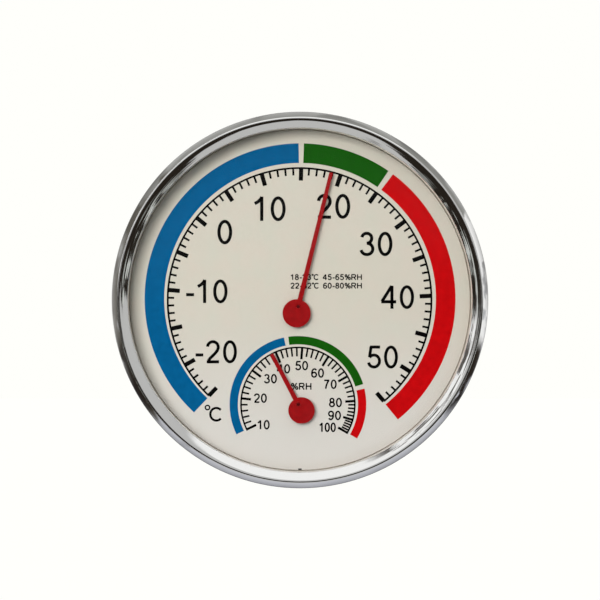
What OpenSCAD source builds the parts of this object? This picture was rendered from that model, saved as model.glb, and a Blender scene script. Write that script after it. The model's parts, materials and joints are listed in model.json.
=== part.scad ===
// Round wall and desk thermo-hygrometer.
// +Z points to 12 o'clock and the dial faces -Y. The origin is on the dial's axis,
// in the plane of the flat back that rests on the wall.
// Every module is drawn lying down: x to the right, y up the dial, z out from the wall.
// facing() then stands it upright.

/* [Body] */
// Outer diameter of the instrument
body_d = 130; // [128:1:134]
// Depth from the wall to the crest of the bezel
body_depth = 24; // [24:0.5:30]
// Thickness of the flat back
plate_t = 2.4; // [2:0.1:2.6]
// Wall thickness of the rear case
case_wall = 1.6; // [1.2:0.1:2]
// Number of screws that hold the bezel to the rear case
case_screw_count = 4; // [4:4:8]

/* [Bezel] */
// Width of the bezel's outer slope, from the side to the ridge
ridge_inset = 2.6; // [2.2:0.1:3]
// Angle of the outer slope above the plane of the dial
outer_slope = 55; // [45:1:65]
// Angle of the inner slope above the plane of the dial
inner_slope = 33; // [20:1:38]
// Width hidden under the bezel, from the side to the edge of the sight opening
bezel_w = 5.8; // [5.6:0.1:6]

/* [Dial] */
// Height of the temperature pivot above the dial's centre
temperature_pivot_y = -2.3; // [-4:0.1:0]
// Height of the humidity pivot above the dial's centre
humidity_pivot_y = -36.3; // [-37:0.1:-34]
// Distance of both pivots to the right of the dial's centre
pivot_x = -0.6; // [-1:0.1:1]

/* [Pointers] */
// Reach of the temperature pointer from its pivot
temperature_reach = 48; // [40:0.5:49]
// Angle at which the temperature pointer rests, from 3 o'clock
temperature_rest = 76.2; // [60:0.1:120]
// Radius of the temperature pointer's counterweight disc
temperature_disc_r = 4.9; // [4:0.1:5]
// Reach of the humidity pointer from its pivot
humidity_reach = 19.8; // [16:0.2:20]
// Angle at which the humidity pointer rests, from 3 o'clock
humidity_rest = 118; // [60:0.1:140]
// Radius of the humidity pointer's counterweight disc
humidity_disc_r = 4.6; // [4:0.1:5]

/* [Movements] */
// Outer radius of the temperature coil
temperature_coil_r = 10.4; // [9:0.1:10.6]
// Outer radius of the humidity coil
humidity_coil_r = 9.2; // [8:0.1:9.4]
// Turns in each coil
coil_turns = 6; // [4:1:8]
// Thickness of the coil strip
strip_t = 0.3; // [0.2:0.05:0.4]

/* [Stand] */
// Width of the fold-out leg
leg_w = 16; // [14:1:18]
// Height of the leg's hinge above the dial's centre
hinge_y = -8; // [-12:1:-8]
// Opening angle at which the leg's heel meets the case
leg_stop = 40; // [30:1:45]

/* [Hidden] */
$fn = 96;

// Allowances between pieces
nip = 0.02;
running_gap = 0.05;
gap = 0.3;
cut = 1;

// Radii from the dial's axis
body_r = body_d / 2;
sight_r = body_r - bezel_w;
dial_r = sight_r + 1;
bezel_bore_r = dial_r + 0.2;
bezel_inner_r = bezel_bore_r + 1.2;
skirt_wall = 1.6;
case_r = bezel_bore_r - 0.9;
plate_r = body_r - 0.2;
plate_chamfer = 0.6;

// Levels above the wall
sight_depth = 4.6;
lens_t = 1.8;
spacer_h = 3.6;
dial_t = 0.8;
lens_front = body_depth - sight_depth;
lens_back = lens_front - lens_t;
dial_front = lens_back - spacer_h;
dial_back = dial_front - dial_t;
skirt_base = plate_t + 0.1;
channel_top = lens_front + 1;

// Bezel ridge
ridge_round = 0.5;
edge_round = 0.3;
arc_steps = 8;

// Spacer ring and the key that stops the dial turning
spacer_wall = 0.8;
key_w = 0.9;
notch_w = 1.2;
notch_reach = 1.3;

// Case screws: pan heads sunk in the back
case_screw_r = 0.9;
case_screw_l = 10;
case_head_r = 1.8;
case_head_h = 1.3;
case_head_sink = 0.2;
screw_boss_r = 2.1;
boss_root = 0.5;
web_w = 2;
screw_circle_r = case_r + gap + screw_boss_r;
first_screw_angle = 45;

// Bridge screws
bridge_screw_r = 0.8;
bridge_screw_l = 4;
bridge_head_r = 1.8;
bridge_head_h = 1.2;
slot_w = 0.5;
slot_depth = 0.6;

// Keyhole for hanging
keyhole_y = 44;
keyhole_r = 4;
keyhole_slot_r = 2;
keyhole_rise = 7;

// Vents
vent_w = 2.2;
vent_l = 20;
vent_in = 15;
vent_first_y = -42;
vent_pitch = 6;
vent_rows = 9;

// Movements: levels and parts that both share
bridge_t = 0.8;
bridge_w = 7;
bridge_front = dial_back - 5.2;
bridge_back = bridge_front - bridge_t;
boss_r = 2.2;
boss_gap = 0.4;
strip_w = 3.6;
coil_lift = 0.7;
arbor_r = 0.6;
arbor_tail = 0.3;
collar_r = 2;
anchor_r = 0.9;
bush_flange_r = 2.8;
bush_flange_t = 0.8;
bush_r = 1.7;
bush_proud = 0.5;
collet_r = 1.6;
collet_lift = 0.9;
collet_spigot_r = 0.95;
pointer_level = dial_front + 2;
pointer_t = 0.4;
spigot_proud = 0.1;
dimple_depth = 0.4;
disc_offset = 2.4;
root_w = 1.7;
tip_w = 1.3;
coil_steps = 20;

// Stand leg, in a recess in the back
leg_t = 3.2;
leg_back = 0.35;
leg_end_y = -61.5;
leg_corner_r = 3;
prong_gap = 6;
prong_l = 12;
trunnion_r = 1.1;
trunnion_l = 2;
recess_gap = 0.4;
recess_depth = 3.85;
recess_floor_t = 1.4;
tub_wall = 1.4;
hinge_boss_l = 4;
hinge_boss_h = 6;
knuckle_r = leg_t / 2;
hinge_z = leg_back + knuckle_r;
heel_l = knuckle_r * (1 / cos(leg_stop) + 1) / tan(leg_stop);
recess_top_y = hinge_y + heel_l + recess_gap;
recess_w = leg_w + 2 * recess_gap;
tub_top = recess_depth + recess_floor_t;
grip_rib_r = 0.5;
grip_ribs = 3;

// Stands a module drawn flat on the wall upright, facing -Y.
module facing() {
    rotate([90, 0, 0])
        children();
}

// Points along an arc in the plane of a section.
function arc(cx, cy, r, from, to) = [
    for (i = [0:arc_steps])
        let (a = from + (to - from) * i / arc_steps)
        [cx + r * cos(a), cy + r * sin(a)]
];

// A straight bar with round ends, centred on the origin along x.
module round_ended_bar(length, width, height) {
    translate([-(length - width) / 2, -width / 2, 0])
        cube([length - width, width, height]);
    for (side = [-1, 1])
        translate([side * (length - width) / 2, 0, 0])
            cylinder(r = width / 2, h = height);
}

// A ring with square edges.
module ring(outer_r, inner_r, height) {
    difference() {
        cylinder(r = outer_r, h = height);
        translate([0, 0, -cut])
            cylinder(r = inner_r, h = height + 2 * cut);
    }
}

// Puts its children at each case screw.
module at_case_screws() {
    for (i = [0:case_screw_count - 1])
        rotate(first_screw_angle + i * 360 / case_screw_count)
            translate([screw_circle_r, 0, 0])
                children();
}

// A pan-head screw whose head lies at z = 0, with its shank along +z.
module pan_screw(head_r, head_h, shank_r, shank_l) {
    difference() {
        cylinder(r = head_r, h = head_h);
        for (turn = [0, 90])
            rotate(turn)
                translate([-head_r * 0.65, -slot_w / 2, -cut])
                    cube([head_r * 1.3, slot_w, slot_depth + cut]);
    }
    translate([0, 0, head_h])
        cylinder(r = shank_r, h = shank_l);
}

// ---- Rear case ----

// Plate with an eased outer edge where it meets the wall.
module back_plate() {
    cylinder(r1 = plate_r - plate_chamfer, r2 = plate_r, h = plate_chamfer);
    translate([0, 0, plate_chamfer])
        cylinder(r = plate_r, h = plate_t - plate_chamfer);
}

// Raised tub that the stand's recess is sunk into, with its two hinge bosses.
module stand_tub() {
    tub_end = case_r - case_wall / 2;
    translate([-recess_w / 2 - tub_wall, -tub_end, 0])
        cube([recess_w + 2 * tub_wall, tub_end + recess_top_y + tub_wall, tub_top]);
    for (side = [-1, 1])
        translate([side * (recess_w + hinge_boss_l) / 2, hinge_y, tub_top / 2])
            cube([hinge_boss_l, hinge_boss_h, tub_top], center = true);
}

// Space the folded leg lies in, open at the bottom edge of the case.
module stand_recess() {
    translate([-recess_w / 2, -body_r, -cut])
        cube([recess_w, body_r + recess_top_y, recess_depth + cut]);
    hinge_hole_l = recess_w + 2 * (trunnion_l + gap);
    translate([0, hinge_y, hinge_z])
        rotate([0, 90, 0])
            cylinder(r = trunnion_r + running_gap, h = hinge_hole_l, center = true);
}

// Hanging hole: a round entry for the nail's head with a slot above it.
module keyhole() {
    translate([0, keyhole_y, -cut]) {
        cylinder(r = keyhole_r, h = plate_t + 2 * cut);
        translate([0, keyhole_rise, 0])
            cylinder(r = keyhole_slot_r, h = plate_t + 2 * cut);
        translate([-keyhole_slot_r, 0, 0])
            cube([2 * keyhole_slot_r, keyhole_rise, plate_t + 2 * cut]);
    }
}

// Two columns of slots that let the air reach both coils.
module vents() {
    for (side = [-1, 1], row = [0:vent_rows - 1])
        translate([side * (vent_in + vent_l / 2), vent_first_y + row * vent_pitch, -cut])
            round_ended_bar(vent_l, vent_w, plate_t + 2 * cut);
}

module rear_case() {
    color("dimgray")
        facing()
            difference() {
                union() {
                    back_plate();
                    ring(case_r, case_r - case_wall, dial_back);
                    stand_tub();
                    // Key in the dial's notch
                    translate([-key_w / 2, -case_r, dial_back - cut])
                        cube([key_w, case_wall / 2, dial_t * 0.6 + cut]);
                }
                stand_recess();
                keyhole();
                vents();
                at_case_screws() {
                    translate([0, 0, -cut])
                        cylinder(r = case_head_r + 0.2, h = case_head_sink + case_head_h + cut);
                    cylinder(r = case_screw_r + 0.2, h = plate_t + cut);
                }
            }
}

module case_screws() {
    color("silver")
        facing()
            at_case_screws()
                translate([0, 0, case_head_sink])
                    pan_screw(case_head_r, case_head_h, case_screw_r, case_screw_l);
}

// ---- Bezel and window ----

// Section of the bezel before its pocket is cut: a ridge with an outer and an inner slope,
// a skirt down the side, and an inner wall with an open channel between them.
function bezel_section() =
    let (
        ridge_r = body_r - ridge_inset,
        ridge_z = body_depth - ridge_round,
        top = arc(ridge_r, ridge_z, ridge_round, 90 - outer_slope, 90 + inner_slope),
        outside = top[0],
        inside = top[arc_steps],
        shoulder_z = outside[1] - (body_r - outside[0]) * tan(outer_slope),
        lip_r = sight_r + edge_round,
        lip_z = inside[1] - (inside[0] - sight_r) * tan(inner_slope) - edge_round
    )
    concat(
        [[body_r, skirt_base], [body_r, shoulder_z]],
        top,
        arc(lip_r, lip_z, edge_round, 90 + inner_slope, 180),
        [
            [sight_r, dial_back], [bezel_inner_r, dial_back],
            [bezel_inner_r, channel_top], [body_r - skirt_wall, channel_top],
            [body_r - skirt_wall, skirt_base]
        ]
    );

// Column that takes a case screw, with a web to the skirt. Both end short of the skirt's edge.
module bezel_boss() {
    boss_back = skirt_base + gap;
    boss_l = channel_top + boss_root - boss_back;
    translate([0, 0, boss_back])
        cylinder(r = screw_boss_r, h = boss_l);
    translate([0, -web_w / 2, boss_back])
        cube([body_r - skirt_wall / 2 - screw_circle_r, web_w, boss_l]);
}

module bezel() {
    color("gainsboro")
        facing()
            difference() {
                union() {
                    rotate_extrude($fn = 180)
                        polygon(bezel_section());
                    at_case_screws()
                        bezel_boss();
                }
                // Pocket for the lens, the spacer and the dial
                translate([0, 0, dial_back - gap])
                    cylinder(r = bezel_bore_r, h = lens_front - dial_back + gap);
                at_case_screws()
                    cylinder(r = case_screw_r + nip, h = case_head_h + case_screw_l + cut);
            }
}

module lens() {
    color("aliceblue", 0.3)
        facing()
            translate([0, 0, lens_back])
                cylinder(r = dial_r, h = lens_t);
}

module spacer_ring() {
    color("lightgray")
        facing()
            translate([0, 0, dial_front])
                ring(dial_r, dial_r - spacer_wall, spacer_h);
}

// ---- Movements ----

// Puts its children at the temperature pivot.
module at_temperature() {
    translate([pivot_x, temperature_pivot_y, 0])
        children();
}

// Puts its children at the humidity pivot.
module at_humidity() {
    translate([pivot_x, humidity_pivot_y, 0])
        children();
}

function anchor_x(coil_r) = coil_r + strip_t / 2 + anchor_r + nip;
function boss_x(coil_r) = anchor_x(coil_r) + anchor_r + boss_gap + boss_r;

// Puts its children at both ends of a bridge.
module at_bridge_ends(coil_r) {
    for (side = [-1, 1])
        translate([side * boss_x(coil_r), 0, 0])
            children();
}

// Brass bush pressed into the dial, flanged behind it.
module bush() {
    difference() {
        union() {
            translate([0, 0, dial_back - bush_flange_t])
                cylinder(r = bush_flange_r, h = bush_flange_t);
            translate([0, 0, dial_back])
                cylinder(r = bush_r, h = dial_t + bush_proud);
        }
        translate([0, 0, bridge_back])
            cylinder(r = arbor_r + running_gap, h = body_depth);
    }
}

// Stamped bar behind the coil, with the rear bearing hole in its middle.
module bridge(coil_r) {
    difference() {
        translate([0, 0, bridge_back])
            round_ended_bar(2 * boss_x(coil_r) + bridge_w, bridge_w, bridge_t);
        cylinder(r = arbor_r + running_gap, h = dial_back);
        translate([anchor_x(coil_r), 0, 0])
            cylinder(r = anchor_r + nip, h = dial_back);
        at_bridge_ends(coil_r)
            cylinder(r = bridge_screw_r + 0.2, h = dial_back);
    }
}

// Post on the bridge that the coil's outer end is fixed to.
module anchor(coil_r) {
    translate([anchor_x(coil_r), 0, bridge_back])
        cylinder(r = anchor_r, h = bridge_t + coil_lift + strip_w);
}

// Middle of the strip, at a share s of the way from the inner end to the outer end.
function coil_point(coil_r, s, side) =
    let (
        start_r = collar_r + strip_t / 2 + nip,
        r = start_r + (coil_r - start_r) * s + side * strip_t / 2,
        a = 360 * coil_turns * s
    )
    [r * cos(a), r * sin(a)];

// Flat spiral of strip between the collar and the anchor.
module coil(coil_r) {
    steps = coil_turns * coil_steps;
    outer_edge = [for (i = [0:steps]) coil_point(coil_r, i / steps, 1)];
    inner_edge = [for (i = [steps:-1:0]) coil_point(coil_r, i / steps, -1)];
    translate([0, 0, bridge_front + coil_lift])
        linear_extrude(strip_w)
            polygon(concat(outer_edge, inner_edge));
}

module arbor() {
    arbor_back = bridge_back - arbor_tail;
    translate([0, 0, arbor_back])
        cylinder(r = arbor_r, h = pointer_level + pointer_t - dimple_depth - arbor_back);
}

// Collar on the arbor that the coil's inner end is fixed to.
module collar() {
    translate([0, 0, bridge_front + coil_lift - gap])
        ring(collar_r, arbor_r + nip, strip_w + gap);
}

// Brass boss pressed on the arbor, with a spigot that the pointer is staked on.
module collet() {
    collet_back = dial_front + collet_lift;
    difference() {
        union() {
            translate([0, 0, collet_back])
                cylinder(r = collet_r, h = pointer_level - collet_back);
            translate([0, 0, collet_back])
                cylinder(r = collet_spigot_r, h = pointer_level + pointer_t + spigot_proud - collet_back);
        }
        translate([0, 0, dial_back])
            cylinder(r = arbor_r + nip, h = body_depth);
    }
}

// Pointer: a tapered needle and a counterweight disc set a little behind the pivot.
module pointer(reach, disc_r) {
    translate([0, 0, pointer_level])
        difference() {
            union() {
                translate([-disc_offset, 0, 0])
                    cylinder(r = disc_r, h = pointer_t);
                linear_extrude(pointer_t)
                    polygon([
                        [0, -root_w / 2], [reach, -tip_w / 2],
                        [reach, tip_w / 2], [0, root_w / 2]
                    ]);
            }
            translate([0, 0, -cut])
                cylinder(r = collet_spigot_r + nip, h = pointer_t + 2 * cut);
        }
}

// Post behind the dial that a bridge screw goes into.
module dial_boss() {
    difference() {
        translate([0, 0, bridge_front])
            cylinder(r = boss_r, h = dial_back - bridge_front + dial_t / 2);
        translate([0, 0, bridge_front - cut])
            cylinder(r = bridge_screw_r + nip, h = bridge_screw_l + cut);
    }
}

module dial_plate() {
    color("antiquewhite")
        facing() {
            difference() {
                translate([0, 0, dial_back])
                    cylinder(r = dial_r, h = dial_t);
                translate([0, 0, dial_back - cut]) {
                    at_temperature()
                        cylinder(r = bush_r + nip, h = dial_t + 2 * cut);
                    at_humidity()
                        cylinder(r = bush_r + nip, h = dial_t + 2 * cut);
                    translate([-notch_w / 2, -dial_r - cut, 0])
                        cube([notch_w, notch_reach + cut, dial_t + 2 * cut]);
                }
            }
            at_temperature()
                at_bridge_ends(temperature_coil_r)
                    dial_boss();
            at_humidity()
                at_bridge_ends(humidity_coil_r)
                    dial_boss();
        }
}

module bridge_screws() {
    color("silver")
        facing()
            translate([0, 0, bridge_back - bridge_head_h]) {
                at_temperature()
                    at_bridge_ends(temperature_coil_r)
                        pan_screw(bridge_head_r, bridge_head_h, bridge_screw_r, bridge_screw_l);
                at_humidity()
                    at_bridge_ends(humidity_coil_r)
                        pan_screw(bridge_head_r, bridge_head_h, bridge_screw_r, bridge_screw_l);
            }
}

module temperature_bush() {
    color("gold") facing() at_temperature() bush();
}

module temperature_bridge() {
    color("darkgray") facing() at_temperature() bridge(temperature_coil_r);
}

module temperature_anchor() {
    color("gold") facing() at_temperature() anchor(temperature_coil_r);
}

module temperature_coil() {
    color("peru") facing() at_temperature() coil(temperature_coil_r);
}

module temperature_arbor() {
    color("silver") facing() at_temperature() arbor();
}

module temperature_collar() {
    color("gold") facing() at_temperature() collar();
}

module temperature_collet() {
    color("firebrick") facing() at_temperature() collet();
}

module temperature_pointer() {
    color("firebrick") facing() at_temperature() rotate(temperature_rest)
        pointer(temperature_reach, temperature_disc_r);
}

module humidity_bush() {
    color("gold") facing() at_humidity() bush();
}

module humidity_bridge() {
    color("darkgray") facing() at_humidity() bridge(humidity_coil_r);
}

module humidity_anchor() {
    color("gold") facing() at_humidity() anchor(humidity_coil_r);
}

module humidity_coil() {
    color("khaki") facing() at_humidity() coil(humidity_coil_r);
}

module humidity_arbor() {
    color("silver") facing() at_humidity() arbor();
}

module humidity_collar() {
    color("gold") facing() at_humidity() collar();
}

module humidity_collet() {
    color("firebrick") facing() at_humidity() collet();
}

module humidity_pointer() {
    color("firebrick") facing() at_humidity() rotate(humidity_rest)
        pointer(humidity_reach, humidity_disc_r);
}

// ---- Stand ----

// Side view of the leg: a flat bar with a round knuckle, and a heel past the hinge
// whose slope meets the floor of the recess when the leg is fully open.
module leg_side() {
    slope = leg_stop;
    tangent = [knuckle_r * sin(slope), knuckle_r * cos(slope)];
    circle(r = knuckle_r);
    translate([leg_end_y - hinge_y, -knuckle_r])
        square([hinge_y - leg_end_y, leg_t]);
    polygon([[0, 0], [0, -knuckle_r], [heel_l, -knuckle_r], tangent]);
}

// Outline of the leg from behind: prongs at the hinge and round corners at the foot.
module leg_face() {
    foot_y = leg_end_y + leg_corner_r;
    difference() {
        union() {
            translate([-leg_w / 2, foot_y])
                square([leg_w, recess_top_y - foot_y]);
            translate([-leg_w / 2 + leg_corner_r, leg_end_y])
                square([leg_w - 2 * leg_corner_r, 2 * leg_corner_r]);
            for (side = [-1, 1])
                translate([side * (leg_w / 2 - leg_corner_r), foot_y])
                    circle(r = leg_corner_r);
        }
        translate([-prong_gap / 2, hinge_y - prong_l + prong_gap / 2])
            square([prong_gap, 2 * prong_l]);
        translate([0, hinge_y - prong_l + prong_gap / 2])
            circle(r = prong_gap / 2);
    }
}

module stand_leg() {
    trunnion_span = recess_w + 2 * trunnion_l;
    color("dimgray")
        facing() {
            intersection() {
                translate([0, hinge_y, hinge_z])
                    rotate([90, 0, 90])
                        linear_extrude(leg_w, center = true)
                            leg_side();
                translate([0, 0, -cut])
                    linear_extrude(leg_t + leg_back + 2 * cut)
                        leg_face();
            }
            for (side = [-1, 1])
                translate([side * (trunnion_span / 2 - prong_gap / 2), hinge_y, hinge_z])
                    rotate([0, 90, 0])
                        cylinder(r = trunnion_r, h = prong_gap, center = true);
            // Grip ribs across the foot
            for (i = [0:grip_ribs - 1])
                translate([0, leg_end_y + leg_corner_r + 2 * i, leg_back + grip_rib_r / 2])
                    rotate([0, 90, 0])
                        cylinder(r = grip_rib_r, h = leg_w - 2 * leg_corner_r, center = true);
        }
}

rear_case();
bezel();
lens();
spacer_ring();
dial_plate();
case_screws();
bridge_screws();
temperature_bush();
temperature_bridge();
temperature_anchor();
temperature_coil();
temperature_arbor();
temperature_collar();
temperature_collet();
temperature_pointer();
humidity_bush();
humidity_bridge();
humidity_anchor();
humidity_coil();
humidity_arbor();
humidity_collar();
humidity_collet();
humidity_pointer();
stand_leg();
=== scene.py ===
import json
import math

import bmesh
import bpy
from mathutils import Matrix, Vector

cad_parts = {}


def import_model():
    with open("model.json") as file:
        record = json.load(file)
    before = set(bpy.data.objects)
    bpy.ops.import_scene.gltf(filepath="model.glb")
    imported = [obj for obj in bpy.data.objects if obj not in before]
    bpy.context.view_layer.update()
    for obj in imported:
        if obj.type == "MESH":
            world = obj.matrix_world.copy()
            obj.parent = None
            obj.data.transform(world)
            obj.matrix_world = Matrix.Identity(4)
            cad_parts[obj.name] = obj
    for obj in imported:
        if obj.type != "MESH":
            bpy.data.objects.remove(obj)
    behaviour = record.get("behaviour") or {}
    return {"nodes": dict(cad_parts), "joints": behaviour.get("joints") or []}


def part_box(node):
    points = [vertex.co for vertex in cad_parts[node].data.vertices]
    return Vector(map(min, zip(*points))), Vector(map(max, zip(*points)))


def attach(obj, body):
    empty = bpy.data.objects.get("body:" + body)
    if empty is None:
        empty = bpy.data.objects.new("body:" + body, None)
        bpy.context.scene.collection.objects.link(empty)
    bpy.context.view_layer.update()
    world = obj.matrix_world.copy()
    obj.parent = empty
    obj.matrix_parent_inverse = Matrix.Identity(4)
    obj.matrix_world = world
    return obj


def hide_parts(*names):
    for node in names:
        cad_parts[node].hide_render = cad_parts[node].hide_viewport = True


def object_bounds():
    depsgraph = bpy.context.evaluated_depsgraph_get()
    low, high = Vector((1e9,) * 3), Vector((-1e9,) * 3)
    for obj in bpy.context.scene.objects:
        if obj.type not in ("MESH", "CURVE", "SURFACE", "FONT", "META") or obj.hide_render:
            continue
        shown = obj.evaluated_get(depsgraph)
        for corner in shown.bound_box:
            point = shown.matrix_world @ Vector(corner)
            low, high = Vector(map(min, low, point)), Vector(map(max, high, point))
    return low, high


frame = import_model()

# Round wall and desk thermo-hygrometer. The dial faces -Y and +Z points to 12 o'clock.
# Lengths are in millimetres until point() turns them into metres. On the dial, x runs to the
# right and z up, "out" is the distance from the wall, and angles count from 3 o'clock,
# counter-clockwise for someone who reads the dial.

CAD_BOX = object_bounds()
MM = 0.001


def level(node, side):
    """How far a CAD node's front (side 0) or back (side 1) is from the wall."""
    return -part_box(node)[side].y / MM


def pivot(joint_name):
    """The place on the dial of a pointer's joint."""
    x, _, z = next(j["pos_m"] for j in frame["joints"] if j["name"] == joint_name)
    return Vector((x / MM, z / MM))


BODY_R = CAD_BOX[1].x / MM
DIAL_OUT = level("dial_plate", 0)
LENS_OUT = level("lens", 0)
CREST_OUT = level("bezel", 0)
HUMIDITY_PIVOT = pivot("humidity_turn")

# ---- Print on the dial ----

INK_T = 0.03

# Ticks are (length, width), bands are (inner radius, outer radius), and ends are (start angle, end
# angle). Strokes of text are shares of its height, and a squeeze above 1 makes it wider. The degree
# sign and its letter are drawn larger than text, with strokes in millimetres

# The temperature scale's line, ticks and colour band each have a centre of their own, because the
# print sits above the pointer's pivot. Its numerals are placed by their middles
SCALE_CENTRE = Vector((-0.15, 0.02))
SCALE_R = 46.1
SCALE_LINE = 0.66
TICK_CENTRE = Vector((-0.69, -0.54))
COLDEST, HOTTEST = -25, 55
ZERO_ANGLE = 140.38
DEGREES_PER_C = 3.448
THICK_TICK = (4.1, 1.5)
THIN_TICK = (2.25, 0.72)
TICK_GROWTH = 0.006
BAND_CENTRE = Vector((0.02, 0.42))
COLOUR_BAND = (47.5, 54.35)
COLOUR_ENDS = {"blue": (227.0, 90.5), "green": (88.6, 55.3), "red": (53.3, -51.0)}
NUMERAL_PLACES = {
    -20: (-29.4, -18.1), -10: (-32.7, 3.0), 0: (-26.3, 23.75), 10: (-10.6, 31.9),
    20: (11.75, 32.75), 30: (26.6, 19.6), 40: (34.1, 1.0), 50: (28.85, -19.95),
}
NUMERAL_H = 8.1
NUMERAL_GROWTH = 0.012
NUMERAL_SQUEEZE = 1.075
DEGREE_SIGN = (-32.35, -37.6)
DEGREE_SIGN_R = 0.76
DEGREE_SIGN_STROKE = 0.5
DEGREE_LETTER = (-29.25, -39.95)
DEGREE_LETTER_RADII = (2.112, 2.208)
DEGREE_LETTER_ENDS = (42, 318)
DEGREE_LETTER_STROKE = 0.82
COMFORT_LINES = {"18-23°C 45-65%RH": 8.0, "22-32°C 60-80%RH": 5.0}
COMFORT_X = 9.15
COMFORT_H = 1.95
COMFORT_STROKE = 0.21
COMFORT_SQUEEZE = 1.18

HUMIDITY_CENTRE = HUMIDITY_PIVOT + Vector((-0.12, -0.2))
HUMIDITY_R = 19.9
HUMIDITY_LINE = 0.58
HUMIDITY_ANGLES = {
    10: 206.1, 20: 173.9, 30: 143.3, 40: 113.1, 50: 85.7,
    60: 57.5, 70: 29.6, 80: 3.4, 90: -15.7, 100: -29.9,
}
HUMIDITY_MAJOR = (3.3, 0.85)
HUMIDITY_MINOR = (2.3, 0.62)
HUMIDITY_GROWTH = 0.8
HUMIDITY_BAND = (21.0, 23.9)
HUMIDITY_ENDS = {"blue": (206.0, 101.8), "green": (98.2, 17.3), "red": (13.4, -30.0)}
# Radius and angle of each numeral's middle, from the pivot
HUMIDITY_LABELS = {
    10: (14.2, 211), 20: (13.4, 171.5), 30: (13.1, 138), 40: (13.3, 113), 50: (13.4, 85),
    60: (12.7, 58), 70: (13.1, 31.5), 80: (13.0, 2), 90: (13.3, -17.8), 100: (13.1, -38.8),
}
HUMIDITY_NUMERAL_H = 3.15
HUMIDITY_STROKE = 0.18
HUMIDITY_SQUEEZE = 1.1
HUNDRED_SQUEEZE = 0.94
UNIT_PLACE = (0.4, -30.2)
UNIT_H = 2.3
UNIT_STROKE = 0.21
UNIT_SQUEEZE = 1.18


def polar(centre, radius, angle):
    """The point at that radius and angle from centre."""
    turn = math.radians(angle)
    return Vector(centre) + radius * Vector((math.cos(turn), math.sin(turn)))


def bow(x, z, rx, rz, start, end, steps=20):
    """Points along part of an ellipse."""
    turns = (math.radians(start + (end - start) * i / steps) for i in range(steps + 1))
    return [Vector((x + rx * math.cos(t), z + rz * math.sin(t))) for t in turns]


def line(*points):
    """Points of a straight or bent line."""
    return [Vector(p) for p in points]


def point(place, out):
    """A place on the dial, that far out from the wall, in metres."""
    return Vector((place.x, -out, place.y)) * MM


# Each letter is its advance and its strokes, one unit high. An advance ends with the gap to the
# next letter
GLYPHS = {
    "0": (0.70, [bow(0.28, 0.5, 0.226, 0.446, 0, 360, 32)]),
    "1": (0.65, [line((0.03, 0.71), (0.16, 0.79), (0.26, 0.90), (0.30, 0.99)),
                 line((0.30, 0.0), (0.30, 1.0))]),
    "2": (0.70, [bow(0.275, 0.705, 0.222, 0.241, 176, -20) + line(
        (0.455, 0.55), (0.36, 0.42), (0.17, 0.22), (0.09, 0.10)),
        line((0.02, 0.054), (0.53, 0.054))]),
    "3": (0.70, [bow(0.265, 0.738, 0.195, 0.208, 168, -90),
                 bow(0.270, 0.292, 0.232, 0.238, 90, -168)]),
    "4": (0.75, [line((0.42, 0.98), (0.03, 0.31)), line((0.0, 0.30), (0.60, 0.30)),
                 line((0.43, 0.0), (0.43, 0.99))]),
    "5": (0.70, [line((0.12, 0.946), (0.53, 0.946)), line((0.16, 0.98), (0.09, 0.49)),
                 bow(0.275, 0.322, 0.232, 0.268, 142, -166)]),
    "6": (0.70, [bow(0.285, 0.312, 0.226, 0.258, 0, 360, 28),
                 bow(0.32, 0.47, 0.262, 0.476, 45, 186)]),
    "7": (0.70, [line((0.02, 0.93), (0.54, 0.93)),
                 line((0.50, 0.93), (0.37, 0.72), (0.26, 0.45), (0.20, 0.20), (0.18, 0.0))]),
    "8": (0.70, [bow(0.28, 0.745, 0.182, 0.201, 0, 360, 24),
                 bow(0.28, 0.29, 0.226, 0.236, 0, 360, 28)]),
    "9": (0.70, [bow(0.28, 0.688, 0.226, 0.258, 0, 360, 28),
                 bow(0.245, 0.53, 0.262, 0.476, -135, 6)]),
    "-": (0.46, [line((0.02, 0.36), (0.34, 0.36))]),
    "°": (0.27, [bow(0.13, 0.90, 0.085, 0.085, 0, 360, 16)]),
    "C": (0.86, [bow(0.42, 0.5, 0.34, 0.446, 42, 318)]),
    "%": (0.98, [bow(0.20, 0.74, 0.13, 0.20, 0, 360, 16), bow(0.72, 0.26, 0.13, 0.20, 0, 360, 16),
                 line((0.22, 0.0), (0.70, 1.0))]),
    "R": (0.88, [line((0.10, 0.0), (0.10, 1.0)), line((0.10, 0.946), (0.48, 0.946)),
                 bow(0.48, 0.715, 0.20, 0.231, 90, -90), line((0.48, 0.484), (0.10, 0.484)),
                 line((0.44, 0.47), (0.70, 0.0))]),
    "H": (0.86, [line((0.10, 0.0), (0.10, 1.0)), line((0.68, 0.0), (0.68, 1.0)),
                 line((0.10, 0.52), (0.68, 0.52))]),
    " ": (0.55, []),
}
LETTER_GAP = 0.14
STROKE = 0.136


def new_piece(name, mesh, material, body="case"):
    """An object from a finished bmesh, in its material, riding on a body."""
    bmesh.ops.recalc_face_normals(mesh, faces=mesh.faces)
    data = bpy.data.meshes.new(name)
    mesh.to_mesh(data)
    mesh.free()
    data.materials.append(material)
    piece = bpy.data.objects.new(name, data)
    bpy.context.scene.collection.objects.link(piece)
    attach(piece, body)
    return piece


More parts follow.
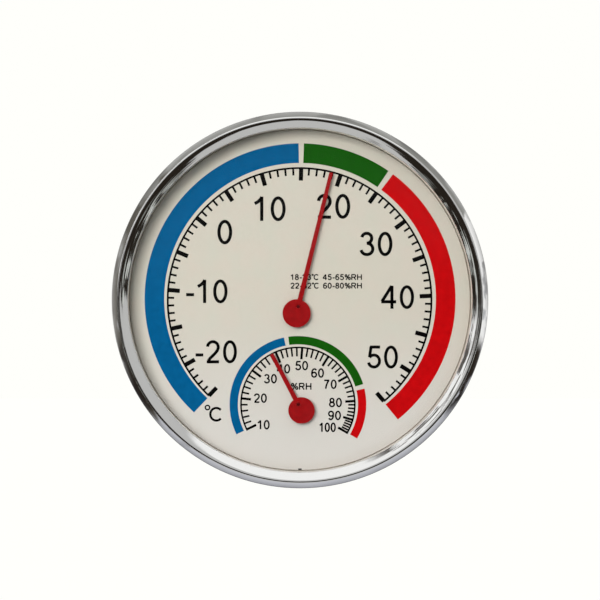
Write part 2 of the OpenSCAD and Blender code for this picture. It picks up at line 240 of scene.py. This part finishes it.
def add_ribbon(mesh, path, width):
    """Adds a thin closed strip of ink along a path on the dial."""
    base, top = DIAL_OUT, DIAL_OUT + INK_T
    closed = (path[0] - path[-1]).length < 1e-6
    if closed:
        path = path[:-1]
    last = len(path) - 1
    rows = []
    for i, place in enumerate(path):
        before = path[i - 1] if closed or i > 0 else place
        after = path[(i + 1) % len(path)] if closed or i < last else place
        along = (after - before).normalized()
        side = Vector((-along.y, along.x)) * width / 2
        corners = [(place + side, base), (place + side, top),
                   (place - side, top), (place - side, base)]
        rows.append([mesh.verts.new(point(*corner)) for corner in corners])
    pairs = list(zip(rows, rows[1:] + rows[:1])) if closed else list(zip(rows, rows[1:]))
    for row, following in pairs:
        for k in range(4):
            mesh.faces.new([row[k], row[(k + 1) % 4], following[(k + 1) % 4], following[k]])
    if not closed:
        mesh.faces.new(rows[0])
        mesh.faces.new(reversed(rows[-1]))


def text_width(text, height):
    """Width of a line of text, without the space after its last letter."""
    return height * (sum(GLYPHS[letter][0] for letter in text) - LETTER_GAP)


def add_text(mesh, text, centre, height, stroke=STROKE, squeeze=1.0):
    """Adds a line of text centred on a place on the dial."""
    x = centre[0] - text_width(text, height) * squeeze / 2
    z = centre[1] - height / 2
    for letter in text:
        advance, strokes = GLYPHS[letter]
        for path in strokes:
            placed = [Vector((x + p.x * height * squeeze, z + p.y * height)) for p in path]
            add_ribbon(mesh, placed, stroke * height)
        x += advance * height * squeeze


def add_arc(mesh, centre, radius, start, end, width):
    """Adds a band of ink along an arc."""
    steps = max(8, int(abs(end - start)))
    add_ribbon(mesh, bow(*centre, radius, radius, start, end, steps), width)


def ring_point(degrees_c):
    """Where the temperature scale's line meets the ray of that temperature, and the ray."""
    ray = polar((0, 0), 1, ZERO_ANGLE - DEGREES_PER_C * degrees_c)
    offset = TICK_CENTRE - SCALE_CENTRE
    along = offset.dot(ray)
    reach = -along + math.sqrt(along ** 2 - offset.length_squared + SCALE_R ** 2)
    return TICK_CENTRE + reach * ray, ray


def temperature_print(inks):
    """The large scale: its colour bands, line, ticks, numerals and unit."""
    middle, width = sum(COLOUR_BAND) / 2, COLOUR_BAND[1] - COLOUR_BAND[0]
    for colour, (start, end) in COLOUR_ENDS.items():
        mesh = bmesh.new()
        add_arc(mesh, BAND_CENTRE, middle, start, end, width)
        new_piece(f"temperature_band_{colour}", mesh, inks[colour])

    mesh = bmesh.new()
    ends = [ring_point(t)[0] - SCALE_CENTRE for t in (COLDEST, HOTTEST)]
    start, end = (math.degrees(math.atan2(e.y, e.x)) for e in ends)
    add_arc(mesh, SCALE_CENTRE, SCALE_R, start % 360, end, SCALE_LINE)
    for t in range(COLDEST, HOTTEST + 1):
        length, width = THIN_TICK if t % 5 else THICK_TICK
        outer, ray = ring_point(t)
        length += TICK_GROWTH * outer.y
        add_ribbon(mesh, [outer, outer - length * ray], width)
    new_piece("temperature_scale", mesh, inks["black"])

    mesh = bmesh.new()
    for value, place in NUMERAL_PLACES.items():
        height = NUMERAL_H + NUMERAL_GROWTH * place[1]
        add_text(mesh, str(value), place, height, squeeze=NUMERAL_SQUEEZE)
    sign = bow(*DEGREE_SIGN, DEGREE_SIGN_R, DEGREE_SIGN_R, 0, 360)
    add_ribbon(mesh, sign, DEGREE_SIGN_STROKE)
    letter = bow(*DEGREE_LETTER, *DEGREE_LETTER_RADII, *DEGREE_LETTER_ENDS)
    add_ribbon(mesh, letter, DEGREE_LETTER_STROKE)
    new_piece("temperature_numerals", mesh, inks["black"])

    mesh = bmesh.new()
    for text, z in COMFORT_LINES.items():
        add_text(mesh, text, (COMFORT_X, z), COMFORT_H, COMFORT_STROKE, COMFORT_SQUEEZE)
    new_piece("comfort_ranges", mesh, inks["black"])


def humidity_angle(percent):
    """Angle of the humidity scale at that relative humidity."""
    low = min(percent // 10 * 10, 90)
    share = (percent - low) / 10
    return HUMIDITY_ANGLES[low] * (1 - share) + HUMIDITY_ANGLES[low + 10] * share


def humidity_print(inks):
    """The small scale: its colour bands, line, ticks, numerals and unit."""
    centre = HUMIDITY_CENTRE
    middle, width = sum(HUMIDITY_BAND) / 2, HUMIDITY_BAND[1] - HUMIDITY_BAND[0]
    for colour, (start, end) in HUMIDITY_ENDS.items():
        mesh = bmesh.new()
        add_arc(mesh, centre, middle, start, end, width)
        new_piece(f"humidity_band_{colour}", mesh, inks[colour])

    mesh = bmesh.new()
    add_arc(mesh, centre, HUMIDITY_R, HUMIDITY_ANGLES[10], HUMIDITY_ANGLES[100], HUMIDITY_LINE)
    for percent in range(10, 101, 2):
        length, width = HUMIDITY_MINOR if percent % 10 else HUMIDITY_MAJOR
        angle = humidity_angle(percent)
        length += HUMIDITY_GROWTH * abs(math.sin(math.radians(angle)))
        inner, outer = HUMIDITY_R - length, HUMIDITY_R + HUMIDITY_LINE / 2
        add_ribbon(mesh, [polar(centre, outer, angle), polar(centre, inner, angle)], width)
    new_piece("humidity_scale", mesh, inks["black"])

    mesh = bmesh.new()
    for percent, (radius, angle) in HUMIDITY_LABELS.items():
        place = polar(HUMIDITY_PIVOT, radius, angle)
        squeeze = HUMIDITY_SQUEEZE if percent < 100 else HUNDRED_SQUEEZE
        add_text(mesh, str(percent), place, HUMIDITY_NUMERAL_H, HUMIDITY_STROKE, squeeze)
    add_text(mesh, "%RH", UNIT_PLACE, UNIT_H, UNIT_STROKE, UNIT_SQUEEZE)
    new_piece("humidity_numerals", mesh, inks["black"])


# ---- Materials ----

# Painted light: the lower part of the dial is painted lighter and cooler, to stand in for the brighter
# light that falls low on the dial.
LOWER_PAINTED_LIGHT = (213, 209, 207)
LOWER_PAINTED_LIGHT_SHARE = 0.8
LOWER_PAINTED_LIGHT_RANGE = (-0.055, 0.005)
WINDOW_IOR = 1.49
COATING_LOSS = 0.03
PLASTIC_EDGE = 0.3


def principled(name, **values):
    """A new material, its node tree and its Principled shader with those values set."""
    material = bpy.data.materials.new(name)
    material.use_nodes = True
    shader = material.node_tree.nodes["Principled BSDF"]
    for socket, value in values.items():
        shader.inputs[socket.replace("_", " ")].default_value = value
    return material, material.node_tree, shader


def place_parts(tree, kind):
    """X, Y and Z of the place on a piece (kind Object) or of a ray's direction (Generated)."""
    coordinates = tree.nodes.new("ShaderNodeTexCoord")
    parts = tree.nodes.new("ShaderNodeSeparateXYZ")
    tree.links.new(coordinates.outputs[kind], parts.inputs["Vector"])
    return parts.outputs


def noise(tree, grain, stretch=(1, 1, 1), detail=4.0):
    """Noise from 0 to 1 whose features are about grain millimetres across."""
    coordinates = tree.nodes.new("ShaderNodeTexCoord")
    mapping = tree.nodes.new("ShaderNodeMapping")
    mapping.inputs["Scale"].default_value = stretch
    texture = tree.nodes.new("ShaderNodeTexNoise")
    texture.inputs["Scale"].default_value = 1 / (grain * MM)
    texture.inputs["Detail"].default_value = detail
    tree.links.new(coordinates.outputs["Object"], mapping.inputs["Vector"])
    tree.links.new(mapping.outputs["Vector"], texture.inputs["Vector"])
    return texture.outputs["Fac"]


def spread(tree, value, low, high, start=0.3, end=0.7, smooth=False):
    """Value's range from start to end, mapped to low to high. The default range is where noise lies."""
    node = tree.nodes.new("ShaderNodeMapRange")
    node.interpolation_type = "SMOOTHSTEP" if smooth else "LINEAR"
    for socket, number in zip(("From Min", "From Max", "To Min", "To Max"), (start, end, low, high)):
        node.inputs[socket].default_value = number
    tree.links.new(value, node.inputs["Value"])
    return node.outputs["Result"]


def math_node(tree, operation, a, b):
    """A maths node on two values, each a socket or a number."""
    node = tree.nodes.new("ShaderNodeMath")
    node.operation = operation
    for socket, value in zip(node.inputs, (a, b)):
        if isinstance(value, (int, float)):
            socket.default_value = value
        else:
            tree.links.new(value, socket)
    return node.outputs[0]


def mix_colour(tree, share, a, b):
    """The colour between a and b, each a socket or an RGB triple."""
    node = tree.nodes.new("ShaderNodeMix")
    node.data_type = "RGBA"
    tree.links.new(share, node.inputs["Factor"])
    for socket, value in zip((node.inputs[6], node.inputs[7]), (a, b)):
        if isinstance(value, tuple):
            socket.default_value = (*value, 1)
        else:
            tree.links.new(value, socket)
    return node.outputs[2]


def add_bump(tree, shader, height, depth, strength=1.0, before=None):
    """Bumps that deep in millimetres on the shader, over an earlier bump."""
    node = tree.nodes.new("ShaderNodeBump")
    node.inputs["Strength"].default_value = strength
    node.inputs["Distance"].default_value = depth * MM
    tree.links.new(height, node.inputs["Height"])
    if before:
        tree.links.new(before, node.inputs["Normal"])
    tree.links.new(node.outputs["Normal"], shader.inputs["Normal"])
    return node.outputs["Normal"]


def srgb(*colour):
    """A screen colour, 0 to 255, as linear RGB."""
    shares = (c / 255 for c in colour)
    return tuple(s / 12.92 if s <= 0.04045 else ((s + 0.055) / 1.055) ** 2.4 for s in shares)


def ink(name, colour, darker=0.82):
    """Screen-printed ink: satin, with slightly uneven cover."""
    material, tree, shader = principled(name, Specular_IOR_Level=0.06)
    dark = tuple(c * darker for c in colour)
    mottle = spread(tree, noise(tree, 2.4, detail=6), 0, 1)
    tree.links.new(mix_colour(tree, mottle, dark, colour), shader.inputs["Base Color"])
    grain = noise(tree, 0.25, detail=3)
    tree.links.new(spread(tree, grain, 0.42, 0.62), shader.inputs["Roughness"])
    add_bump(tree, shader, grain, 0.01, 0.5)
    return material


def dial_paint():
    """Matt off-white ground of the dial with faint warm and cool patches and a fine grain. Its lower
    part is painted lighter and cooler as painted light, for the brighter light low on the dial."""
    material, tree, shader = principled("dial_paint", Specular_IOR_Level=0.3)
    warm, cool, pale = srgb(208, 198, 187), srgb(203, 200, 188), srgb(214, 208, 198)
    patches = spread(tree, noise(tree, 7, detail=3), 0, 1)
    fine = spread(tree, noise(tree, 0.8, detail=5), 0, 1)
    ground = mix_colour(tree, patches, warm, cool)
    shade = math_node(tree, "MULTIPLY", fine, 0.35)
    ground = mix_colour(tree, shade, ground, pale)
    # Painted light: below this height the ground blends towards a lighter, cooler paint.
    height = place_parts(tree, "Object")["Z"]
    painted_light_below = spread(tree, height, LOWER_PAINTED_LIGHT_SHARE, 0, *LOWER_PAINTED_LIGHT_RANGE, smooth=True)
    ground = mix_colour(tree, painted_light_below, ground, srgb(*LOWER_PAINTED_LIGHT))
    tree.links.new(ground, shader.inputs["Base Color"])
    grain = noise(tree, 0.18, detail=3)
    tree.links.new(spread(tree, grain, 0.5, 0.68), shader.inputs["Roughness"])
    add_bump(tree, shader, grain, 0.008, 0.5)
    return material


def chrome():
    """Bright plating over moulded plastic: faint waves, a little haze and a few dull specks."""
    material, tree, shader = principled("bezel_chrome", Metallic=1.0)
    specks = spread(tree, noise(tree, 0.9, detail=2), 0, 1, 0.74, 0.8, smooth=True)
    tree.links.new(
        mix_colour(tree, specks, (0.88, 0.88, 0.885), (0.55, 0.54, 0.52)),
        shader.inputs["Base Color"],
    )
    haze = noise(tree, 6, detail=5)
    tree.links.new(spread(tree, haze, 0.03, 0.10), shader.inputs["Roughness"])
    waves = add_bump(tree, shader, noise(tree, 9, detail=1), 0.05)
    add_bump(tree, shader, noise(tree, 2.2, detail=2), 0.006, before=waves)
    return material


def enamel(name, dark, light):
    """Stove enamel on metal, a little uneven in colour."""
    material, tree, shader = principled(name, Specular_IOR_Level=0.2, Coat_Weight=0.1)
    mottle = spread(tree, noise(tree, 1.5, detail=4), 0, 1)
    tree.links.new(mix_colour(tree, mottle, dark, light), shader.inputs["Base Color"])
    grain = noise(tree, 0.3, detail=3)
    tree.links.new(spread(tree, grain, 0.3, 0.45), shader.inputs["Roughness"])
    add_bump(tree, shader, grain, 0.01, 0.6)
    return material


def moulded_plastic(name, colour, grain=0.45, depth=0.06):
    """Moulded plastic with a spark-eroded texture, slightly soft edges and handling marks."""
    material, tree, shader = principled(name)
    rubbed = spread(tree, noise(tree, 14, detail=6), 0, 1, 0.45, 0.75)
    worn = tuple(min(1, c * 1.35 + 0.006) for c in colour)
    tree.links.new(mix_colour(tree, rubbed, colour, worn), shader.inputs["Base Color"])
    scuffs = noise(tree, 5, stretch=(1, 1, 6), detail=8)
    tree.links.new(spread(tree, scuffs, 0.38, 0.56), shader.inputs["Roughness"])
    soft_edges = tree.nodes.new("ShaderNodeBevel")
    soft_edges.inputs["Radius"].default_value = PLASTIC_EDGE * MM
    add_bump(tree, shader, noise(tree, grain, detail=3), depth, 0.7, soft_edges.outputs["Normal"])
    return material


def bare_metal(name, colour, stretch=(1, 1, 1)):
    """Metal with drawn or turned grain and a slight tarnish."""
    material, tree, shader = principled(name, Metallic=1.0)
    tarnish = spread(tree, noise(tree, 3, detail=6), 0, 1)
    dull = tuple(c * 0.72 for c in colour)
    tree.links.new(mix_colour(tree, tarnish, colour, dull), shader.inputs["Base Color"])
    lines = noise(tree, 0.3, stretch=stretch, detail=4)
    tree.links.new(spread(tree, lines, 0.25, 0.4), shader.inputs["Roughness"])
    add_bump(tree, shader, lines, 0.01, 0.5)
    return material


def window():
    """Clear sheet with a coating against glare: its front faces mirror a little, and the rest of the
    light passes."""
    material, tree, shader = principled("lens_clear")
    tree.nodes.remove(shader)
    clear = tree.nodes.new("ShaderNodeBsdfTransparent")
    clear.inputs["Color"].default_value = (0.985, 0.99, 0.985, 1)
    gloss = tree.nodes.new("ShaderNodeBsdfGlossy")
    smears = noise(tree, 12, stretch=(1, 1, 3), detail=5)
    tree.links.new(spread(tree, smears, 0.01, 0.05), gloss.inputs["Roughness"])
    fresnel = tree.nodes.new("ShaderNodeFresnel")
    fresnel.inputs["IOR"].default_value = WINDOW_IOR
    coated = math_node(tree, "SUBTRACT", fresnel.outputs["Fac"], COATING_LOSS)
    geometry = tree.nodes.new("ShaderNodeNewGeometry")
    front = math_node(tree, "SUBTRACT", 1, geometry.outputs["Backfacing"])
    share = math_node(tree, "MULTIPLY", coated, front)
    mix = tree.nodes.new("ShaderNodeMixShader")
    tree.links.new(share, mix.inputs["Fac"])
    tree.links.new(clear.outputs["BSDF"], mix.inputs[1])
    tree.links.new(gloss.outputs["BSDF"], mix.inputs[2])
    tree.links.new(mix.outputs["Shader"], tree.nodes["Material Output"].inputs["Surface"])
    return material


def dress(material, *nodes):
    """Gives CAD nodes their material."""
    for name in nodes:
        data = frame["nodes"][name].data
        data.materials.clear()
        data.materials.append(material)


# ---- Bezel ----

# Lengths and radii of its section, and its slopes in degrees from the dial's plane
RIDGE_INSET = 2.6
CREST_OUTER_ROUND = 0.55
CREST_INNER_ROUND = 2.8
CREST_INNER_END = 24
CROWN_ROUND = 7.0
SHOULDER_ROUND = 1.5
LIP_ROUND = 0.35
OUTER_SLOPE = 57
INNER_SLOPE = 37
SIGHT_R = BODY_R - 5.8
BORE_GAP = 0.2
POCKET_WALL = 1.2
POCKET_DEPTH = 0.8
FLANGE_T = 1
SKIRT_T = 1.6
BEZEL_SEGMENTS = 256
CREASE_ANGLE = 28


def lathe(mesh, profile, segments):
    """Adds a closed ring turned from a closed section of (radius, out) points."""
    rings = []
    for i in range(segments):
        turn = 360 * i / segments
        rings.append([mesh.verts.new(point(polar((0, 0), r, turn), out)) for r, out in profile])
    for ring, following in zip(rings, rings[1:] + rings[:1]):
        for k in range(len(profile)):
            after = (k + 1) % len(profile)
            mesh.faces.new([ring[k], ring[after], following[after], following[k]])


def bezel_profile():
    """The bezel's section: shoulder, outer slope, crest, crowned inner slope, lip, pocket, skirt."""
    crest_r = BODY_R - RIDGE_INSET
    outer_top = bow(crest_r, CREST_OUT - CREST_OUTER_ROUND, CREST_OUTER_ROUND, CREST_OUTER_ROUND,
                    90 - OUTER_SLOPE, 90, 10)
    inner_top = bow(crest_r, CREST_OUT - CREST_INNER_ROUND, CREST_INNER_ROUND, CREST_INNER_ROUND,
                    90, 90 + CREST_INNER_END, 10)
    end = inner_top[-1]
    lean = polar((0, 0), CROWN_ROUND, 90 + CREST_INNER_END)
    crown = bow(*(end - lean), CROWN_ROUND, CROWN_ROUND, 90 + CREST_INNER_END, 90 + INNER_SLOPE, 8)

    slope = math.tan(math.radians(OUTER_SLOPE))
    turn = math.tan(math.radians((90 - OUTER_SLOPE) / 2))
    shoulder_out = outer_top[0].y - (BODY_R - outer_top[0].x) * slope - SHOULDER_ROUND * turn
    shoulder = bow(BODY_R - SHOULDER_ROUND, shoulder_out, SHOULDER_ROUND, SHOULDER_ROUND,
                   0, 90 - OUTER_SLOPE, 6)

    drop = (crown[-1].x - SIGHT_R - LIP_ROUND) * math.tan(math.radians(INNER_SLOPE))
    lip = bow(SIGHT_R + LIP_ROUND, crown[-1].y - drop - LIP_ROUND, LIP_ROUND, LIP_ROUND,
              90 + INNER_SLOPE, 180, 6)
    bore_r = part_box("lens")[1].x / MM + BORE_GAP
    wall_r = bore_r + POCKET_WALL
    skirt_r = BODY_R - SKIRT_T
    back = level("bezel", 1)
    pocket_back = DIAL_OUT - POCKET_DEPTH
    flange = LENS_OUT + FLANGE_T
    inner = [(SIGHT_R, LENS_OUT), (bore_r, LENS_OUT), (bore_r, pocket_back), (wall_r, pocket_back),
             (wall_r, flange), (skirt_r, flange), (skirt_r, back), (BODY_R, back)]
    outside = shoulder + outer_top[:-1] + inner_top + crown[1:] + lip
    return [tuple(p) for p in outside] + inner


def bezel(material):
    """The bright ring, turned finely enough for clean reflections."""
    mesh = bmesh.new()
    lathe(mesh, bezel_profile(), BEZEL_SEGMENTS)
    piece = new_piece("bezel_ring", mesh, material)
    piece.data.shade_smooth()
    piece.data.set_sharp_from_angle(angle=math.radians(CREASE_ANGLE))
    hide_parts("bezel")


# ---- Studio ----

LENS = 83.4
SENSOR = 36
EYE = (0, -0.5, 0)
FLOOR_HALF = 4.0
FLOOR_LEVEL = -0.32
FLOOR_GLOW = 0.97
PAPER_WHITE = (1.0, 1.0, 0.965)
AMBIENT = 0.5

# Colours of the room that the bezel mirrors
CEILING = (0.96, 0.96, 0.94)
FRONT_WALLS = (0.53, 0.53, 0.515)
FRAMES = (0.10, 0.09, 0.08)
FURNITURE = (0.02, 0.016, 0.012)
FURNITURE_SHINE = (0.60, 0.62, 0.58)
BACK_WALL_FOOT = (0.58, 0.59, 0.63)
BACK_WALL_TOP = (0.30, 0.30, 0.28)
CURTAIN = (0.13, 0.12, 0.10)
DAYLIGHT = (1.0, 1.0, 0.98)
CHAIRS = (0.022, 0.016, 0.011)
SHELF_GAPS = (0.07, 0.065, 0.06)
SHELVES = (0.62, 0.62, 0.60)
CARPET = (0.025, 0.025, 0.03)


def clutter(tree, scale, low=0, high=1, detail=2):
    """Noise by direction, from low to high, that breaks up the shapes in the mirrored room."""
    texture = tree.nodes.new("ShaderNodeTexNoise")
    texture.inputs["Scale"].default_value = scale
    texture.inputs["Detail"].default_value = detail
    direction = tree.nodes.new("ShaderNodeTexCoord").outputs["Generated"]
    tree.links.new(direction, texture.inputs["Vector"])
    return spread(tree, texture.outputs["Fac"], low, high)


def rise(tree, value, start, end):
    """A soft step from 0 at start to 1 at end."""
    return spread(tree, value, 0, 1, start, end, smooth=True)


def fall(tree, value, start, end):
    """A soft step from 1 at start to 0 at end."""
    return spread(tree, value, 1, 0, start, end, smooth=True)


def room_in_front(tree, x, z, wide):
    """The room on the camera's side: a white ceiling, greyer walls with dark frames on the left, and
    a low band of dark furniture that shines here and there at the sides."""
    slant = math_node(tree, "ADD", math_node(tree, "MULTIPLY", x, 0.5),
                      math_node(tree, "MULTIPLY", wide, 0.25))
    ceiling = rise(tree, math_node(tree, "SUBTRACT", z, slant), 0.22, 0.34)
    walls = mix_colour(tree, ceiling, FRONT_WALLS, CEILING)
    left = fall(tree, x, -0.45, -0.3)
    frames = rise(tree, clutter(tree, 6.0), 0.52, 0.60)
    walls = mix_colour(tree, math_node(tree, "MULTIPLY", left, frames), walls, FRAMES)

    height = math_node(tree, "ADD", z, clutter(tree, 3.0, -0.10, 0.10, detail=3))
    lowered = math_node(tree, "ADD", height, math_node(tree, "MULTIPLY", wide, 0.3))
    above = rise(tree, lowered, -0.50, -0.44)
    below = fall(tree, height, 0.00, 0.06)
    band = math_node(tree, "MULTIPLY", above, below)
    aside = spread(tree, wide, 0, 1, 0.55, 0.75)
    shine = math_node(tree, "MULTIPLY", rise(tree, clutter(tree, 7.0), 0.60, 0.68), aside)
    furniture = mix_colour(tree, shine, FURNITURE, FURNITURE_SHINE)
    return mix_colour(tree, band, walls, furniture)


def room_behind(tree, x, y, z, wide):
    """The room on the wall's side: a grey wall, a curtain on the left, daylight on the right, dark
    chairs low at the sides, and shelves over a dark carpet straight behind."""
    up = rise(tree, z, -0.5, 0.5)
    room = mix_colour(tree, up, BACK_WALL_FOOT, BACK_WALL_TOP)
    left = math_node(tree, "ADD", x, clutter(tree, 9.0, -0.2, 0.2))
    room = mix_colour(tree, spread(tree, left, 1, 0, -0.75, -0.6), room, CURTAIN)

    tall = math_node(tree, "ABSOLUTE", z, 0)
    right = math_node(tree, "SUBTRACT", x, math_node(tree, "MULTIPLY", tall, 0.45))
    right = math_node(tree, "ADD", right, clutter(tree, 8.0, -0.45, 0.45))
    room = mix_colour(tree, rise(tree, right, 0.66, 0.76), room, DAYLIGHT)

    low = math_node(tree, "MULTIPLY", rise(tree, z, -0.58, -0.50), fall(tree, z, -0.24, -0.16))
    low_sides = math_node(tree, "MULTIPLY", low, rise(tree, wide, 0.64, 0.72))
    chairs = rise(tree, clutter(tree, 8.0), 0.28, 0.38)
    room = mix_colour(tree, math_node(tree, "MULTIPLY", low_sides, chairs), room, CHAIRS)

    shelves = rise(tree, clutter(tree, 3.5), 0.35, 0.6)
    shelves = mix_colour(tree, shelves, SHELF_GAPS, SHELVES)
    shelves = mix_colour(tree, fall(tree, z, -0.40, -0.22), shelves, CARPET)
    straight_back = rise(tree, y, 0.45, 0.7)
    return mix_colour(tree, straight_back, room, shelves)


def world():
    """A pale room as the bezel mirrors it. The camera itself sees plain white, and matt surfaces get
    only the ambient share of the room's light."""
    scene_world = bpy.data.worlds.new("studio")
    bpy.context.scene.world = scene_world
    scene_world.use_nodes = True
    tree = scene_world.node_tree
    x, y, z = place_parts(tree, "Generated")
    wide = math_node(tree, "ABSOLUTE", x, 0)
    front = room_in_front(tree, x, z, wide)
    behind = room_behind(tree, x, y, z, wide)
    room = mix_colour(tree, rise(tree, y, 0.05, 0.2), front, behind)

    rays = tree.nodes.new("ShaderNodeLightPath").outputs
    dim = spread(tree, rays["Is Diffuse Ray"], 1, AMBIENT, 0, 1)
    room = mix_colour(tree, dim, (0.0, 0.0, 0.0), room)
    shown = mix_colour(tree, rays["Is Camera Ray"], room, PAPER_WHITE)
    background = tree.nodes["Background"]
    tree.links.new(shown, background.inputs["Color"])
    background.inputs["Strength"].default_value = 1.0


def soft_box(name, place, size, power, colour=(1, 1, 1)):
    """An area light at a place in metres, turned to the dial. The bezel doesn't mirror it."""
    light = bpy.data.lights.new(name, "AREA")
    light.shape = "RECTANGLE"
    light.size, light.size_y = size
    light.energy = power
    light.color = colour
    lamp = bpy.data.objects.new(name, light)
    lamp.location = place
    lamp.rotation_euler = (Vector((0, 0, 0)) - Vector(place)).to_track_quat("-Z", "Y").to_euler()
    lamp.visible_glossy = False
    bpy.context.scene.collection.objects.link(lamp)


def floor():
    """A wide pale floor well below the object, in metres. Only the camera sees it."""
    mesh = bmesh.new()
    corners = [(-1, -1), (1, -1), (1, 1), (-1, 1)]
    mesh.faces.new([mesh.verts.new((i * FLOOR_HALF, j * FLOOR_HALF, FLOOR_LEVEL)) for i, j in corners])
    data = bpy.data.meshes.new("floor")
    mesh.to_mesh(data)
    mesh.free()
    material, tree, shader = principled("floor_paper", Roughness=0.9, Emission_Strength=FLOOR_GLOW)
    shader.inputs["Emission Color"].default_value = (*PAPER_WHITE, 1)
    fibres = spread(tree, noise(tree, 3, detail=6), 0, 1)
    tree.links.new(
        mix_colour(tree, fibres, (0.02, 0.02, 0.02), (0.03, 0.03, 0.03)), shader.inputs["Base Color"]
    )
    data.materials.append(material)
    sheet = bpy.data.objects.new("floor", data)
    sheet.visible_glossy = False
    sheet.visible_diffuse = False
    bpy.context.scene.collection.objects.link(sheet)


def camera():
    """Straight in front of the dial, like the photograph's."""
    data = bpy.data.cameras.new("camera")
    data.lens = LENS
    data.sensor_width = SENSOR
    eye = bpy.data.objects.new("camera", data)
    eye.location = EYE
    eye.rotation_euler = (math.pi / 2, 0, 0)
    bpy.context.scene.collection.objects.link(eye)
    bpy.context.scene.camera = eye


def studio():
    """The camera, the mirrored room, the floor and four soft lamps."""
    bpy.context.scene.view_settings.view_transform = "Standard"
    camera()
    world()
    floor()
    soft_box("key", (-0.30, -0.95, 0.20), (0.5, 0.4), 8.7, (1, 0.98, 0.955))
    soft_box("overhead", (-0.05, -1.0, 0.95), (1.0, 0.7), 1.5, (1, 0.985, 0.96))
    soft_box("low_fill", (0.05, -1.0, -0.35), (0.5, 0.3), 1.6, (0.86, 0.95, 1.0))
    soft_box("back_light", (0.45, 0.7, 0.5), (0.4, 0.4), 6.0)


# ---- The object ----


def main():
    """Sets the studio up, prints the dial, turns the bezel and gives every CAD node its material."""
    studio()
    inks = {
        "black": ink("ink_black", srgb(6, 5, 5), 0.7),
        "blue": ink("ink_blue", srgb(2, 93, 147)),
        "green": ink("ink_green", srgb(18, 86, 8)),
        "red": ink("ink_red", srgb(200, 6, 12)),
    }
    temperature_print(inks)
    humidity_print(inks)
    bezel(chrome())
    dress(dial_paint(), "dial_plate")
    dress(window(), "lens")
    # The spacer ring is a real part, but its dark brown-grey is painted shade that darkens the band
    # between the lip and the dial.
    dress(moulded_plastic("spacer_plastic", srgb(132, 122, 110), 0.6, 0.02), "spacer_ring")
    dress(moulded_plastic("case_plastic", (0.032, 0.032, 0.034)), "rear_case", "stand_leg")
    dress(bare_metal("screw_zinc", (0.62, 0.62, 0.61)), "case_screws", "bridge_screws")
    dress(bare_metal("bridge_steel", (0.55, 0.55, 0.54), stretch=(1, 1, 12)),
          "temperature_bridge", "humidity_bridge")
    dress(bare_metal("turned_brass", (0.78, 0.58, 0.27), stretch=(1, 9, 1)),
          "temperature_bush", "temperature_anchor", "temperature_collar",
          "humidity_bush", "humidity_anchor", "humidity_collar")
    dress(bare_metal("temperature_bimetal", (0.66, 0.50, 0.40), stretch=(1, 9, 1)),
          "temperature_coil")
    dress(bare_metal("humidity_foil", (0.72, 0.64, 0.46), stretch=(1, 9, 1)), "humidity_coil")
    dress(enamel("arbor_enamel", srgb(76, 3, 7), srgb(90, 4, 9)),
          "temperature_arbor", "humidity_arbor")
    dress(enamel("pointer_enamel", srgb(136, 3, 8), srgb(156, 6, 12)),
          "temperature_collet", "humidity_collet", "temperature_pointer", "humidity_pointer")


main()
